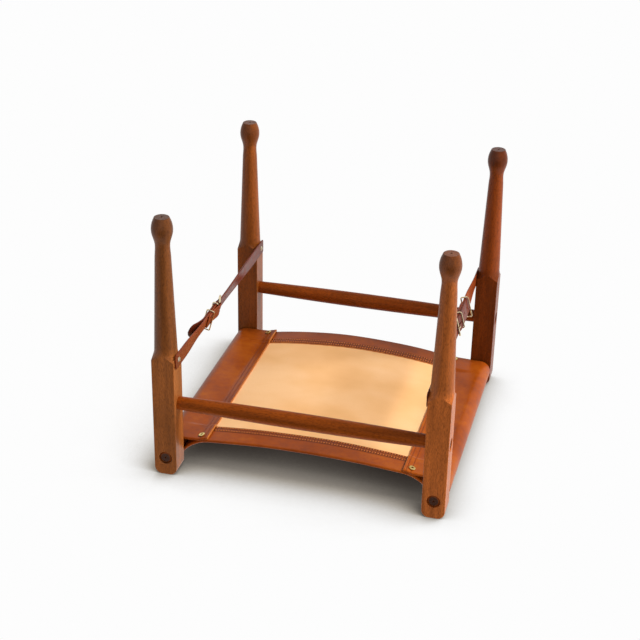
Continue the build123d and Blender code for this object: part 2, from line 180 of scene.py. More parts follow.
def addPatterns(tree, place, patterns, offset=(0, 0, 0)):
    # noise at its real size, by name. Each pattern is the x, y and z size of its features in metres, its
    # detail and its roughness.
    made = {}
    for name, (size, detail, roughness) in patterns.items():
        scale = [1 / length for length in size]
        fitted = addNode(tree, "Mapping", {"Vector": place, "Scale": scale, "Location": offset})
        made[name] = addNode(tree, "TexNoise",
                             {"Vector": fitted, "Scale": 1.0, "Detail": detail, "Roughness": roughness})
    return made


def newMaterial(name):
    material = bpy.data.materials.new(name)
    material.use_nodes = True
    material.node_tree.nodes.clear()
    return material, material.node_tree


def finishMaterial(material, settings):
    # the Principled surface with everything that was worked out for it
    tree = material.node_tree
    addNode(tree, "OutputMaterial", {"Surface": addNode(tree, "BsdfPrincipled", settings)})
    return material


# Materials
teak = {
    "gloss": 0.22, "endTone": "#2c2320",
    # heights at which a leg's turned part and its knob end, and over which their tones fade out
    "turned": (208 * mm, 222 * mm), "knob": (20 * mm, 42 * mm),
    "bandWidth": 9 * mm, "bandLength": 150 * mm, "waver": 12 * mm,
    "fibreWidth": 1.3 * mm, "fibreLength": 20 * mm, "poreWidth": 0.7 * mm, "poreLength": 5 * mm,
}


def oiledTeak(name, axis, shift, tone, endGrain=0.0, gloss=teak["gloss"], turnedPaintedLight=1.0, foot=1.0):
    # teak, sawn, turned and oiled: brown with long faint bands, fine open pores along the grain and a soft
    # gloss. Pores are drawn about twice their real width so that they show. Oil soaks in and darkens the end
    # grain. A leg's turned part is drawn lighter or darker than its planed block by a share of its tone: that
    # is painted light and shade, for how the light falls on each. foot is how light its foot is: dirt and
    # polish have worked into the knobs.
    material, tree = newMaterial(name)
    coordinates = addNode(tree, "TexCoord", {})
    place = coordinates.outputs["Object"]

    def cell(across, along):
        return [along if i == axis else across for i in range(3)]

    warp = addPatterns(tree, place, {"warp": (cell(30 * mm, 120 * mm), 2.0, 0.55)}, [shift] * 3)["warp"]
    bend = addNode(tree, "Math", {"operation": "MULTIPLY", 0: warp, 1: teak["waver"]})
    bend = addNode(tree, "VectorMath", {"operation": "SCALE", 0: (1.0, 1.0, 1.0), "Scale": bend})
    wavy = addNode(tree, "VectorMath", {"operation": "ADD", 0: place, 1: bend})
    bandPattern = {"bands": (cell(teak["bandWidth"], teak["bandLength"]), 3.0, 0.5)}
    bands = addPatterns(tree, wavy, bandPattern, (shift, 0, shift))["bands"]
    fine = addPatterns(tree, wavy, {
        "fibres": (cell(teak["fibreWidth"], teak["fibreLength"]), 3.0, 0.6),
        "pores": (cell(teak["poreWidth"], teak["poreLength"]), 1.0, 0.4),
    })
    light = addNode(tree, "MapRange", {"Value": bands, "From Min": 0.3, "From Max": 0.72})
    colour = addNode(tree, "Mix", {"data_type": "RGBA", 0: light, 6: srgb(tone, 0.72), 7: srgb(tone, 1.28)})
    lines = {"Value": fine["fibres"], "From Min": 0.38, "From Max": 0.75, "To Max": 0.45}
    lines = addNode(tree, "MapRange", lines)
    colour = addNode(tree, "Mix", {"data_type": "RGBA", 0: lines, 6: colour, 7: srgb(tone, 0.45)})
    pores = addNode(tree, "MapRange", {"Value": fine["pores"], "From Min": 0.5, "From Max": 0.64})
    filled = addNode(tree, "Math", {"operation": "MULTIPLY", 0: pores, 1: 0.5})
    colour = addNode(tree, "Mix", {"data_type": "RGBA", 0: filled, 6: colour, 7: srgb(tone, 0.22)})
    # painted light and shade: the turned part comes out lighter or darker than the block by its share
    if turnedPaintedLight != 1.0:
        height = addNode(tree, "SeparateXYZ", {0: place}).outputs["Z"]
        turned, knob = [
            addNode(tree, "MapRange", {"Value": height, "From Min": below, "From Max": above, "To Min": tint})
            for (below, above), tint in ((teak["turned"], turnedPaintedLight), (teak["knob"], foot))
        ]
        share = addNode(tree, "Math", {"operation": "MULTIPLY", 0: turned, 1: knob})
        colour = addNode(tree, "VectorMath", {"operation": "SCALE", 0: colour, "Scale": share})
    facing = addNode(tree, "SeparateXYZ", {0: coordinates.outputs["Normal"]}).outputs[axis]
    facing = addNode(tree, "Math", {"operation": "ABSOLUTE", 0: facing})
    end = addNode(tree, "MapRange", {"Value": facing, "From Min": 0.9, "From Max": 0.97, "To Max": endGrain})
    colour = addNode(tree, "Mix", {"data_type": "RGBA", 0: end, 6: colour, 7: srgb(teak["endTone"])})
    rough = addNode(tree, "MapRange", {
        "Value": fine["fibres"], "From Min": 0.3, "From Max": 0.7, "To Min": 0.3, "To Max": 0.44,
    })
    raised = addNode(tree, "Math", {"operation": "MULTIPLY", 0: fine["fibres"], 1: 0.5})
    raised = addNode(tree, "Math", {"operation": "SUBTRACT", 0: raised, 1: pores})
    bump = addNode(tree, "Bump", {"Strength": 0.3, "Distance": 0.1 * mm, "Height": raised})
    return finishMaterial(material, {"Specular IOR Level": gloss, "Base Color": colour, "Roughness": rough,
                                     "Normal": bump})


grain = {
    "dark": "#702d09", "mid": "#96440c", "light": "#b25e18", "gloss": 0.14,
    "clouds": 70 * mm, "mottle": 9 * mm, "cell": 1.1 * mm,
    # the painted shade along the stitch rows: its colour, and its width on the hem and on the flaps
    "rowPaintedShade": "#441606", "hemRowWidth": 5 * mm, "flapRowWidth": 1.2 * mm,
}


def rowShade(tree, uv, component, places, width):
    # 1 on each stitch row and 0 away from it. The rows lie at these distances from zero along one direction
    # of the UV map.
    part = addNode(tree, "SeparateXYZ", {0: uv}).outputs[component]
    part = addNode(tree, "Math", {"operation": "ABSOLUTE", 0: part})
    shade = None
    for place in places:
        gap = addNode(tree, "Math", {"operation": "SUBTRACT", 0: part, 1: place})
        gap = addNode(tree, "Math", {"operation": "ABSOLUTE", 0: gap})
        row = addNode(tree, "MapRange", {
            "Value": gap, "From Min": 0.25 * width, "From Max": width, "To Min": 1.0, "To Max": 0.0,
        })
        shade = row if shade is None else addNode(tree, "Math", {"operation": "MAXIMUM", 0: shade, 1: row})
    return shade


def stitchShade(tree, rows):
    # painted shade along the stitch rows: the hem's rows on the sagging stretch, and the flaps' rows fainter
    uv = addNode(tree, "UVMap", {"uv_map": "cut"})
    length = addNode(tree, "SeparateXYZ", {0: uv}).outputs["X"]
    length = addNode(tree, "Math", {"operation": "ABSOLUTE", 0: length})
    onSeat = addNode(tree, "MapRange", {
        "Value": length, "From Min": rows["sag"] - 1 * mm, "From Max": rows["sag"],
        "To Min": 1.0, "To Max": 0.0,
    })
    hem = rowShade(tree, uv, 1, rows["hem"], grain["hemRowWidth"])
    hem = addNode(tree, "Math", {"operation": "MULTIPLY", 0: hem, 1: onSeat})
    flap = rowShade(tree, uv, 0, rows["flap"], grain["flapRowWidth"])
    flap = addNode(tree, "Math", {"operation": "MULTIPLY", 0: flap, 1: 0.45})
    shade = addNode(tree, "Math", {"operation": "MAXIMUM", 0: hem, 1: flap})
    return addNode(tree, "Math", {"operation": "MULTIPLY", 0: shade, 1: 0.85})


def saddleGrain(name, tones=(grain["dark"], grain["mid"], grain["light"]), roughness=0.36, rows=None):
    # vegetable-tanned saddle leather, grain side: waxed, with a low soft gloss over pores about a millimetre
    # apart. The thread pulls the leather into grooves along the stitch rows, and those rows are darkened with
    # painted shade, for the shadow in the grooves and between the stitches.
    material, tree = newMaterial(name)
    place = addNode(tree, "TexCoord", {}).outputs["Object"]
    noise = addPatterns(tree, place, {
        "clouds": ([grain["clouds"]] * 3, 3.0, 0.5), "mottle": ([grain["mottle"]] * 3, 3.0, 0.5),
    })
    cloudy = addNode(tree, "Math", {"operation": "MULTIPLY", 0: noise["clouds"], 1: 0.7})
    mottled = addNode(tree, "Math", {"operation": "MULTIPLY", 0: noise["mottle"], 1: 0.3})
    amount = addNode(tree, "Math", {"operation": "ADD", 0: cloudy, 1: mottled})
    amount = addNode(tree, "MapRange", {"Value": amount, "From Min": 0.25, "From Max": 0.75})
    colour = addNode(tree, "ValToRGB", {"Fac": amount, "stops": list(zip((0.0, 0.5, 1.0), tones))})
    fitted = addNode(tree, "Mapping", {"Vector": place, "Scale": [1 / grain["cell"]] * 3})
    cells = addNode(tree, "TexVoronoi", {"feature": "SMOOTH_F1", "Scale": 1.0, "Vector": fitted})
    crease = addNode(tree, "MapRange", {"Value": cells, "From Min": 0.1, "From Max": 0.75})
    faint = addNode(tree, "Math", {"operation": "MULTIPLY", 0: crease, 1: 0.1})
    colour = addNode(tree, "Mix", {"data_type": "RGBA", 0: faint, 6: colour, 7: srgb(tones[0])})
    if rows:
        # the stitch rows darkened with painted shade
        shade = stitchShade(tree, rows)
        colour = addNode(tree, "Mix", {"data_type": "RGBA", 0: shade, 6: colour, 7: srgb(grain["rowPaintedShade"])})
    rough = addNode(tree, "MapRange", {
        "Value": noise["mottle"], "From Min": 0.3, "From Max": 0.7,
        "To Min": roughness - 0.04, "To Max": roughness + 0.08,
    })
    sunk = addNode(tree, "Math", {"operation": "MULTIPLY", 0: crease, 1: -0.5})
    raised = addNode(tree, "Math", {"operation": "ADD", 0: sunk, 1: noise["mottle"]})
    bump = addNode(tree, "Bump", {"Strength": 0.25, "Distance": 0.1 * mm, "Height": raised})
    return finishMaterial(material, {"Specular IOR Level": grain["gloss"], "Base Color": colour,
                                     "Roughness": rough, "Normal": bump})


def fleshSuede(name):
    # the same leather's flesh side: shaved, pale, matt and faintly fibrous, with one broad faint stain
    material, tree = newMaterial(name)
    place = addNode(tree, "TexCoord", {}).outputs["Object"]
    noise = addPatterns(tree, place, {
        "clouds": ((150 * mm, 110 * mm, 150 * mm), 3.0, 0.5),
        "fibres": ((1.3 * mm, 3.5 * mm, 2 * mm), 3.0, 0.7),
        "specks": ([2.4 * mm] * 3, 1.0, 0.4),
    })
    clouds = addNode(tree, "MapRange", {"Value": noise["clouds"], "From Min": 0.3, "From Max": 0.62})
    stops = [(0.0, "#ecb070"), (0.5, "#f6bd80"), (1.0, "#fcc890")]
    colour = addNode(tree, "ValToRGB", {"Fac": clouds, "stops": stops})
    hairs = {"Value": noise["fibres"], "From Min": 0.45, "From Max": 0.85, "To Max": 0.18}
    hairs = addNode(tree, "MapRange", hairs)
    colour = addNode(tree, "Mix", {"data_type": "RGBA", 0: hairs, 6: colour, 7: srgb("#e0a870")})
    specks = {"Value": noise["specks"], "From Min": 0.72, "From Max": 0.8, "To Max": 0.3}
    specks = addNode(tree, "MapRange", specks)
    colour = addNode(tree, "Mix", {"data_type": "RGBA", 0: specks, 6: colour, 7: srgb("#c98f5c")})
    bump = addNode(tree, "Bump", {"Strength": 0.3, "Distance": 0.2 * mm, "Height": noise["fibres"]})
    return finishMaterial(material, {"Roughness": 0.85, "Sheen Weight": 0.08, "Sheen Roughness": 0.5,
                                     "Base Color": colour, "Normal": bump})


def cutEdge(name):
    # the leather's knife-cut edge, waxed and rubbed: bright tan with fine lines along it
    material, tree = newMaterial(name)
    place = addNode(tree, "TexCoord", {}).outputs["Object"]
    streaks = addPatterns(tree, place, {"streaks": ((6 * mm, 6 * mm, 0.8 * mm), 3.0, 0.6)})["streaks"]
    amount = addNode(tree, "MapRange", {"Value": streaks, "From Min": 0.35, "From Max": 0.65})
    colour = addNode(tree, "ValToRGB", {"Fac": amount, "stops": [(0.0, "#944612"), (1.0, "#c4762c")]})
    bump = addNode(tree, "Bump", {"Strength": 0.3, "Distance": 0.2 * mm, "Height": streaks})
    return finishMaterial(material, {"Roughness": 0.5, "Base Color": colour, "Normal": bump})


def waxedThread(name, code):
    # waxed linen thread, twisted: matt, with its lay as faint dark specks half a millimetre apart
    material, tree = newMaterial(name)
    place = addNode(tree, "TexCoord", {}).outputs["Object"]
    lay = addPatterns(tree, place, {"lay": ([0.5 * mm] * 3, 2.0, 0.55)})["lay"]
    amount = addNode(tree, "MapRange", {"Value": lay, "From Min": 0.35, "From Max": 0.7, "To Max": 0.3})
    colour = addNode(tree, "Mix", {"data_type": "RGBA", 0: amount, 6: srgb(code), 7: srgb("#3c1708")})
    return finishMaterial(material, {"Roughness": 0.55, "Base Color": colour})


def polishedBrass(name, bright, dull, roughness):
    # brass, formed and polished: pale, bright, with faint tarnish in patches and finer scratches
    material, tree = newMaterial(name)
    place = addNode(tree, "TexCoord", {}).outputs["Object"]
    noise = addPatterns(tree, place, {
        "tarnish": ([4 * mm] * 3, 3.0, 0.6), "scratches": ((0.6 * mm, 5 * mm, 0.6 * mm), 2.0, 0.55),
    })
    amount = addNode(tree, "MapRange", {"Value": noise["tarnish"], "From Min": 0.35, "From Max": 0.7})
    colour = addNode(tree, "ValToRGB", {"Fac": amount, "stops": [(0.0, bright), (1.0, dull)]})
    rough = addNode(tree, "MapRange", {
        "Value": noise["scratches"], "From Min": 0.3, "From Max": 0.7,
        "To Min": roughness, "To Max": roughness + 0.16,
    })
    return finishMaterial(material, {"Metallic": 1.0, "Base Color": colour, "Roughness": rough})


# each piece has its own tone. The rear legs' darker tones are partly their wood and partly painted shade.
woods = {
    "front_left_leg": oiledTeak("teakLegFrontLeft", 2, 0.37, "#ba642a", turnedPaintedLight=0.72, foot=0.48),
    "front_right_leg": oiledTeak("teakLegFrontRight", 2, 1.91, "#9e5a28", 0.4, turnedPaintedLight=0.62, foot=0.7),
    "rear_left_leg": oiledTeak("teakLegRearLeft", 2, 3.13, "#72320c", 0.4, turnedPaintedLight=1.5, foot=0.42),
    "rear_right_leg": oiledTeak("teakLegRearRight", 2, 4.77, "#8a4819", 0.4, turnedPaintedLight=1.08, foot=0.66),
    "front_stretcher": oiledTeak("teakStretcherFront", 0, 5.21, "#92440f", 0.8, 0.08),
    "rear_stretcher": oiledTeak("teakStretcherRear", 0, 6.43, "#823a0c", 0.8, 0.08),
    "left_seat_rod": oiledTeak("teakRodLeft", 1, 7.7, "#8a4518", 0.8),
    "right_seat_rod": oiledTeak("teakRodRight", 1, 8.9, "#8a4518", 0.8),
}
suede = fleshSuede("saddleLeatherFlesh")
edgeTan = cutEdge("saddleLeatherEdge")
strapLeather = saddleGrain("strapLeatherGrain", ("#57200c", "#7c3414", "#94461c"), 0.34)
tailLeather = saddleGrain("tailLeatherGrain", ("#401408", "#5e2412", "#74331e"), 0.32)
hemThread = waxedThread("waxedThreadTan", "#d87a38")
flapThread = waxedThread("waxedThreadBrown", "#8a3c12")
strapThread = waxedThread("waxedThreadDark", "#5a2a14")
buckleBrass = polishedBrass("brassWire", "#efe0bd", "#b39868", 0.18)
rivetBrass = polishedBrass("brassRivet", "#e9d48c", "#b89a4e", 0.26)
screwBrass = polishedBrass("brassScrew", "#e6ddc8", "#a89878", 0.24)


def dress(names, material):
    # gives CAD nodes their one material
    for name in names:
        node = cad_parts[name]
        node.data.materials.clear()
        node.data.materials.append(material)


for name, material in woods.items():
    dress([name], material)
sides = ("left", "right")
wires = ("buckle_frame", "buckle_prong", "fixed_keeper", "loose_keeper")
dress([f"{side}_{wire}" for side in sides for wire in wires], buckleBrass)
dress(["seat_eyelets"], rivetBrass)
dress(["front_strap_screws", "rear_strap_screws"], screwBrass)
print("materials made")


# The leather seat
seat = {
    "legX": 212 * mm, "rodZ": 399.5 * mm, "rod": 13.55 * mm, "leather": 3 * mm, "hemPly": 1.5 * mm,
    "flapInset": 55 * mm, "flapDrop": 14.5 * mm, "seamWidth": 15 * mm, "sag": 11 * mm,
    "halfDepth": 192.5 * mm, "hemWidth": 45 * mm,
    "sagTilt": 3.2 * mm,  # how much further the rear sags than the middle, and how much less the front
    "stepEase": 9 * mm,  # length over which the flap climbs off the hem
    "slack": 0.06 * mm,  # air between layers that lie together
    "ripple": 0.5 * mm, "edgeRound": 0.9 * mm,
    # stitch rows, as distances from the hem's and the flap's edge, and the grooves that the thread pulls
    "hemRows": (4.5 * mm, 12.5 * mm), "flapRows": (4.5 * mm, 12 * mm),
    "groove": 0.3 * mm, "hemGroove": 0.9 * mm, "flapGroove": 0.8 * mm,
    # samples along the section
    "sagSamples": 40, "riseSamples": 18, "wrapSamples": 46, "flapSamples": 9,
}


def seatCurve(stack):
    # grain side of the section for x >= 0, from the middle outwards: an arc that sags, an arc that rises to
    # the rod, a circle round it and a flap back under the seat. Each sample is a point and the normal there.
    # stack is how thick the layers are between the seat's grain side and the flap's.
    wrapR = seat["rod"] + seat["hemPly"] + seat["leather"]
    flapX = seat["legX"] - seat["flapInset"]
    flapZ = seat["rodZ"] - seat["flapDrop"]
    sagR = (flapX ** 2 + seat["sag"] ** 2) / (2 * seat["sag"])
    sagA = math.asin(flapX / sagR)
    inset, drop = seat["flapInset"], seat["flapDrop"]
    riseR = inset ** 2 + drop ** 2 - wrapR ** 2
    riseR /= 2 * (wrapR - inset * math.sin(sagA) + drop * math.cos(sagA))
    riseX, riseZ = flapX - riseR * math.sin(sagA), flapZ + riseR * math.cos(sagA)
    meet = math.asin((seat["legX"] - riseX) / (riseR + wrapR))
    a = np.linspace(0, sagA, seat["sagSamples"])
    b = np.linspace(sagA, meet, seat["riseSamples"])[1:]
    points = [np.stack([sagR * np.sin(a), flapZ - seat["sag"] + sagR * (1 - np.cos(a))], -1),
              np.stack([riseX + riseR * np.sin(b), riseZ - riseR * np.cos(b)], -1)]
    normals = [np.stack([-np.sin(a), np.cos(a)], -1), np.stack([-np.sin(b), np.cos(b)], -1)]
    seamX = flapX + seat["seamWidth"]
    seamZ = riseZ - math.sqrt(riseR ** 2 - (seamX - riseX) ** 2) - stack
    dx, dz = seamX - seat["legX"], seamZ - seat["rodZ"]
    leave = math.atan2(dz, dx) + math.acos(wrapR / math.hypot(dx, dz))
    c = np.linspace(math.pi / 2 + meet, leave, seat["wrapSamples"])[1:]
    points.append(np.stack([seat["legX"] + wrapR * np.cos(c), seat["rodZ"] + wrapR * np.sin(c)], -1))
    normals.append(np.stack([np.cos(c), np.sin(c)], -1))
    t = np.linspace(0, 1, seat["flapSamples"])[1:, None]
    seam, edge = np.array([seamX, seamZ]), np.array([flapX, flapZ - stack])
    first = points[-1][-1] + t * (seam - points[-1][-1])
    second = seam + t * (edge - seam)
    lineN = normals[-1][-1]
    endN = np.array([math.sin(sagA * 1.02), -math.cos(sagA * 1.02)])
    points += [first, second]
    normals += [lineN + smooth(t) * 0.5 * (endN - lineN), lineN + (0.5 + 0.5 * smooth(t)) * (endN - lineN)]
    points, normals = np.concatenate(points), np.concatenate(normals)
    return points, normals / np.linalg.norm(normals, axis=1)[:, None]


def wholeCurve(stack):
    # both sides, from the left flap's edge to the right flap's edge
    p, n = seatCurve(stack)
    flip = np.array([-1, 1])
    return np.concatenate([(p * flip)[:0:-1], p]), np.concatenate([(n * flip)[:0:-1], n])


midCurve, midNormal = wholeCurve(2 * seat["leather"])
hemCurve, hemNormal = wholeCurve(2 * (seat["leather"] + seat["hemPly"]))
pathLength = np.concatenate([[0], np.cumsum(np.linalg.norm(np.diff(midCurve, axis=0), axis=1))])
pathLength -= pathLength[-1] / 2
middleIndex = len(pathLength) // 2
seatEnd = middleIndex + seat["sagSamples"] - 1  # last sample of the sagging stretch on the right
sagReach = float(pathLength[seatEnd])
hemEdge = seat["halfDepth"] - seat["hemWidth"]
print("seat path", round(float(pathLength[-1]) * 2, 4), "m")


def seatAt(s, y, depth):
    # place of the leather: s along the path, y along the rods, depth below the grain side.
    # The curve blends from the single leather's to the hem's across the hem's edge, and the sag leans to the
    # rear. Two slanting waves about 0.2 m long, multiplied, make its faint ripple.
    s, y, depth = np.broadcast_arrays(s, y, depth)
    w = smooth((np.abs(y) - hemEdge + seat["stepEase"] / 2) / seat["stepEase"])[..., None]

    def along(curve):
        return np.stack([np.interp(s, pathLength, curve[:, i]) for i in (0, 1)], -1)

    p = along(midCurve) * (1 - w) + along(hemCurve) * w
    n = along(midNormal) * (1 - w) + along(hemNormal) * w
    n /= np.linalg.norm(n, axis=-1)[..., None]
    onSeat = np.clip(1 - (s / sagReach) ** 2, 0, None)
    x = p[..., 0]
    lean = -seat["sagTilt"] * y / seat["halfDepth"] * onSeat
    ripple = seat["ripple"] * np.sin(x * 31 + y * 9 + 1.3) * np.sin(y * 37 - x * 11 + 0.4) * onSeat
    p = p - n * depth[..., None]
    return np.stack([p[..., 0], y, p[..., 1] + lean + ripple], -1)


def flapEdgeS(inset):
    # place along the path that lies inset from the flap's edge, on the flap
    return float(pathLength[-1]) - inset


def seatSection():
    # outline across the leather: pairs of samples on the grain and flesh sides that share y, a half circle
    # round each fold, and closer together where the flesh side steps down at the hem's edge
    half, edge = seat["halfDepth"], hemEdge
    thin = seat["leather"] - seat["slack"]
    thick = seat["leather"] + seat["hemPly"] - seat["slack"]
    r = thick / 2
    turn = np.linspace(0, np.pi / 2, 8)
    inner = np.concatenate([
        np.linspace(0, edge - 6 * mm, 32), np.linspace(edge - 5 * mm, edge - 0.5 * mm, 5),
        edge + np.array([-0.2, 0, 0.35, 0.9]) * mm, np.linspace(edge + 1.6 * mm, edge + 15 * mm, 24),
        np.linspace(edge + 16.5 * mm, half - r, 12)[:-1],
    ])
    fold = half - r + r * np.sin(turn)
    y = np.concatenate([inner, fold])
    top = np.concatenate([0 * inner, r - r * np.cos(turn)])
    step = smooth((inner - edge + 0.2 * mm) / (0.8 * mm))
    under = thin + (thick - thin) * step
    bottom = np.concatenate([under, thick - r + r * np.cos(turn)])
    mark = sum(np.exp(-((y - edge - row) / seat["hemGroove"]) ** 2) for row in seat["hemRows"])
    mark = seat["groove"] * mark
    y = np.concatenate([-y[:0:-1], y])
    return [y] + [np.concatenate([part[:0:-1], part]) for part in (top, bottom, mark)]


def makeSeat():
    # the section's outline carried along the path, with grooves along the stitch rows and rounded flap edges
    y, top, bottom, mark = seatSection()
    rowS = [flapEdgeS(row) for row in seat["flapRows"]]
    extra = np.concatenate([np.linspace(-2.4, 2.4, 9) * mm + r for r in rowS])
    s = np.unique(np.concatenate([pathLength, extra, -extra]))
    groove = seat["groove"] * sum(np.exp(-((np.abs(s) - r) / seat["flapGroove"]) ** 2) for r in rowS)
    ringY = np.concatenate([y, y[::-1]])
    ringD = np.concatenate([top, bottom[::-1]])
    pull = np.concatenate([mark, -mark[::-1]])
    onSeat = smooth((sagReach - np.abs(s)) / (2 * mm))
    middle = np.concatenate([(top + bottom) / 2, ((top + bottom) / 2)[::-1]])
    outer = np.concatenate([np.ones_like(y), 0 * y])
    grid = seatAt(s[:, None], ringY[None, :], ringD + onSeat[:, None] * pull + groove[:, None] * outer)
    ends = []
    for side in (0, -1):
        out = grid[side] - grid[1 if side == 0 else -2]
        out = out / np.linalg.norm(out, axis=-1)[:, None]
        rings = []
        for a in roundAngles:
            depth = middle + (ringD - middle) * math.cos(a)
            rings.append(seatAt(s[side], ringY, depth) + out * seat["edgeRound"] * math.sin(a))
        ends.append(np.stack(rings))
    points = np.concatenate([ends[0][::-1], grid, ends[1]])
    extraRings = len(roundAngles)
    uvS = np.concatenate([np.full(extraRings, s[0]), s, np.full(extraRings, s[-1])])
    uv = np.stack(np.broadcast_arrays(uvS[:, None], ringY[None, :]), -1)
    # zone 0 is the grain side, 1 the flesh side between the hems and 2 the cut edges
    inside = np.abs(ringY) < hemEdge - 0.1 * mm
    step = (np.abs(ringY) >= hemEdge - 0.6 * mm) & (np.abs(ringY) < hemEdge + 1.0 * mm)
    lower = np.arange(len(ringY)) >= len(y)
    zones = np.tile(np.where(lower & inside, 1, np.where(lower & step, 2, 0)), (len(uvS), 1))
    zones[:extraRings] = 2
    zones[-extraRings - 1:] = 2
    piece = gridMesh("seat_sling", points, uv, zones)
    for material in (saddle, suede, edgeTan):
        piece.data.materials.append(material)
    return piece


seatRows = {
    "hem": [hemEdge + row for row in seat["hemRows"]], "sag": sagReach,
    "flap": [flapEdgeS(row) for row in seat["flapRows"]] + [sagReach + row for row in seat["flapRows"]],
}
saddle = saddleGrain("saddleLeatherGrain", rows=seatRows)
sling = makeSeat()
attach(sling, "seat")
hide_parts("seat_leather")
print("seat made:", len(sling.data.polygons), "faces")


# Stitches
# the hem's thread is drawn thicker than the waxed linen's millimetre, so that it shows from the camera
hemStitch = {
    "pitch": 4.3 * mm, "length": 2.9 * mm, "radius": 0.85 * mm, "rise": 0.7 * mm, "sink": 0.3 * mm,
    "slant": 1.0 * mm, "margin": 1.5 * mm,
}
flapStitch = {
    "pitch": 4.3 * mm, "length": 3.2 * mm, "radius": 0.5 * mm, "rise": 0.45 * mm, "sink": 0.3 * mm,
    "slant": 0.3 * mm, "margin": 5 * mm,
}
handJitter = 0.08 * mm  # how unevenly the stitches are spaced


def stitchRow(centre, forward, out, stitch):
    # one stitch at each centre: a thread of six sides whose middle line is an arch, half a sine, between two
    # holes. forward is the direction of the row there and out the direction away from the leather.
    t = np.linspace(0, 1, 7)
    along = (t - 0.5) * stitch["length"]
    lift = stitch["rise"] * np.sin(np.pi * t) - stitch["sink"] * (1 - np.sin(np.pi * t))
    side = np.cross(out, forward)
    radius = stitch["radius"] * np.sqrt(np.clip(np.sin(np.pi * (0.04 + 0.92 * t)), 0, 1))
    line = (centre[:, None] + forward[:, None] * along[None, :, None] + out[:, None] * lift[None, :, None]
            + side[:, None] * ((t - 0.5) * 2 * stitch["slant"])[None, :, None])
    turn = np.linspace(0, 2 * np.pi, 7)[:-1]
    ring = np.cos(turn)[None, :, None] * side[:, None] + np.sin(turn)[None, :, None] * out[:, None]
    return line[:, :, None] + ring[:, None] * radius[None, :, None, None]


def stitchMesh(name, rows, material, body):
    # rows of stitches, each an array of stitches x rings x sides x 3, joined in one mesh with closed ends
    blocks = np.concatenate(rows)
    number, rings, count = blocks.shape[:3]
    base = (np.arange(number) * rings * count)[:, None, None]
    quads = ringQuads(rings, count)[None] + base
    caps = np.stack([np.arange(count)[::-1], (rings - 1) * count + np.arange(count)])[None] + base
    faces = quads.reshape(-1, 4).tolist() + caps.reshape(-1, count).tolist()
    mesh = bpy.data.meshes.new(name)
    mesh.from_pydata(blocks.reshape(-1, 3).tolist(), [], faces)
    mesh.polygons.foreach_set("use_smooth", np.ones(len(mesh.polygons), dtype=bool))
    mesh.update()
    mesh.materials.append(material)
    piece = bpy.data.objects.new(name, mesh)
    bpy.context.scene.collection.objects.link(piece)
    tidyMesh(piece, 0.001 * mm)
    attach(piece, body)
    return piece


def seatRow(sValues, yValues, depth, upSign):
    # points, direction along the row and direction out of the leather, by differences of the seat's surface
    step = 0.2 * mm
    p = seatAt(sValues, yValues, depth)
    ds = seatAt(sValues + step, yValues, depth) - seatAt(sValues - step, yValues, depth)
    dy = seatAt(sValues, yValues + step, depth) - seatAt(sValues, yValues - step, depth)
    ds /= np.linalg.norm(ds, axis=-1)[:, None]
    dy /= np.linalg.norm(dy, axis=-1)[:, None]
    out = np.cross(ds, dy)
    out *= upSign
    return p, ds, dy, out


def evenPlaces(length, stitch, rng):
    # places of a row's stitches about its middle, a pitch apart but for the hand's unevenness
    count = int(2 * (length - stitch["margin"]) / stitch["pitch"])
    return (np.arange(count) - (count - 1) / 2) * stitch["pitch"] + rng.normal(0, handJitter, count)


def makeSeatStitches():
    # the hems' rows along the sag, on both sides of the leather, and the flaps' rows across it, on the flap
    # and on the seat above it
    hemRows, flapRows = [], []
    bite = seat["groove"]  # the thread lies in its groove
    thick = seat["leather"] + seat["hemPly"]
    rng = np.random.default_rng(11)
    for sign in (-1, 1):
        for row in seat["hemRows"]:
            for depth, upSign in ((thick - bite, -1), (bite, 1)):
                s = evenPlaces(sagReach, hemStitch, rng)
                y = np.full(len(s), sign * (hemEdge + row))
                p, ds, dy, out = seatRow(s, y, np.full(len(s), depth), upSign)
                hemRows.append(stitchRow(p, ds, out, hemStitch))
    for sign in (-1, 1):
        for row in seat["flapRows"]:
            y = evenPlaces(seat["halfDepth"], flapStitch, rng)
            for place, depth in ((flapEdgeS(row), bite), (sagReach + row, 0.0)):
                p, ds, dy, out = seatRow(np.full(len(y), sign * place), y, np.full(len(y), depth), 1)
                flapRows.append(stitchRow(p, dy, out, flapStitch))
    return (stitchMesh("seat_hem_stitching", hemRows, hemThread, "seat"),
            stitchMesh("seat_flap_stitching", flapRows, flapThread, "seat"))


for piece in makeSeatStitches():
    print("stitches made:", piece.name, len(piece.data.polygons), "faces")


